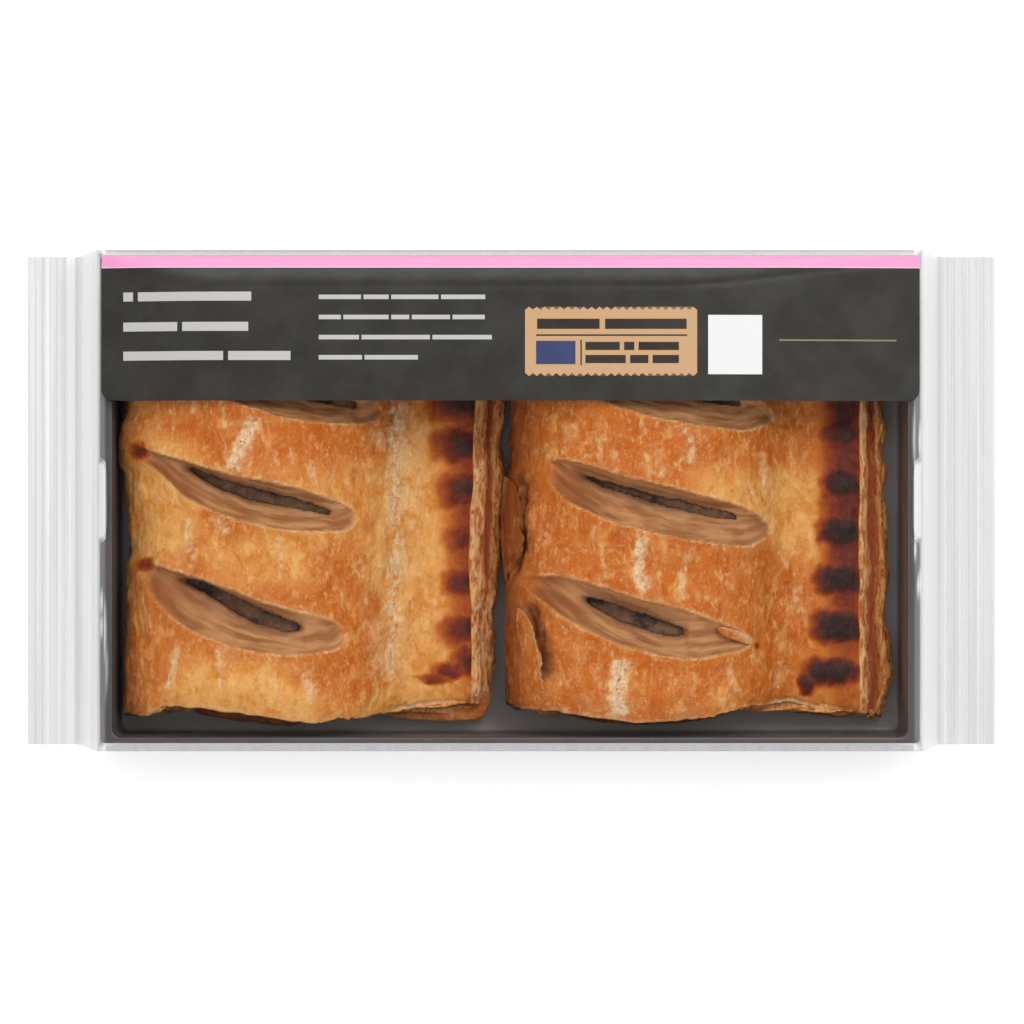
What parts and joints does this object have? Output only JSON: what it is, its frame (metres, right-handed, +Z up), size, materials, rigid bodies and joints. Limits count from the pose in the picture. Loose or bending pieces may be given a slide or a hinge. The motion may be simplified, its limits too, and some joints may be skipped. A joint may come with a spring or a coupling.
{
  "type": "tray pack of sausage rolls",
  "caption": "Sealed clear film pack of slashed puff pastry sausage rolls side by side in a shallow dark tray, with crimped ends and a plain dark label.",
  "frame": {"origin": "middle of the pack in plan, on the surface that it rests on", "axes": "+Z up out of the pack's top, +X along its length from one end seal to the other, +Y across it towards the edge with the label"},
  "size_m": [0.2266, 0.117, 0.0383],
  "materials": {
    "pastry": "baked golden brown puff pastry, egg glazed, darker and glossier where it stands up",
    "filling": "cooked sausage meat, matt and coarse",
    "tray": "dark grey thermoformed plastic, satin",
    "film": "thin clear wrapping film, glossy, whiter where crimped",
    "label": "smooth dark label with a pink edge stripe and plain fields of colour"
  },
  "bodies": {
    "root": {"pastry_left": "pastry", "filling_left": "filling", "pastry_right": "pastry", "filling_right": "filling", "tray": "tray", "film_wrap": "film", "label": "label"}
  },
  "joints": []
}
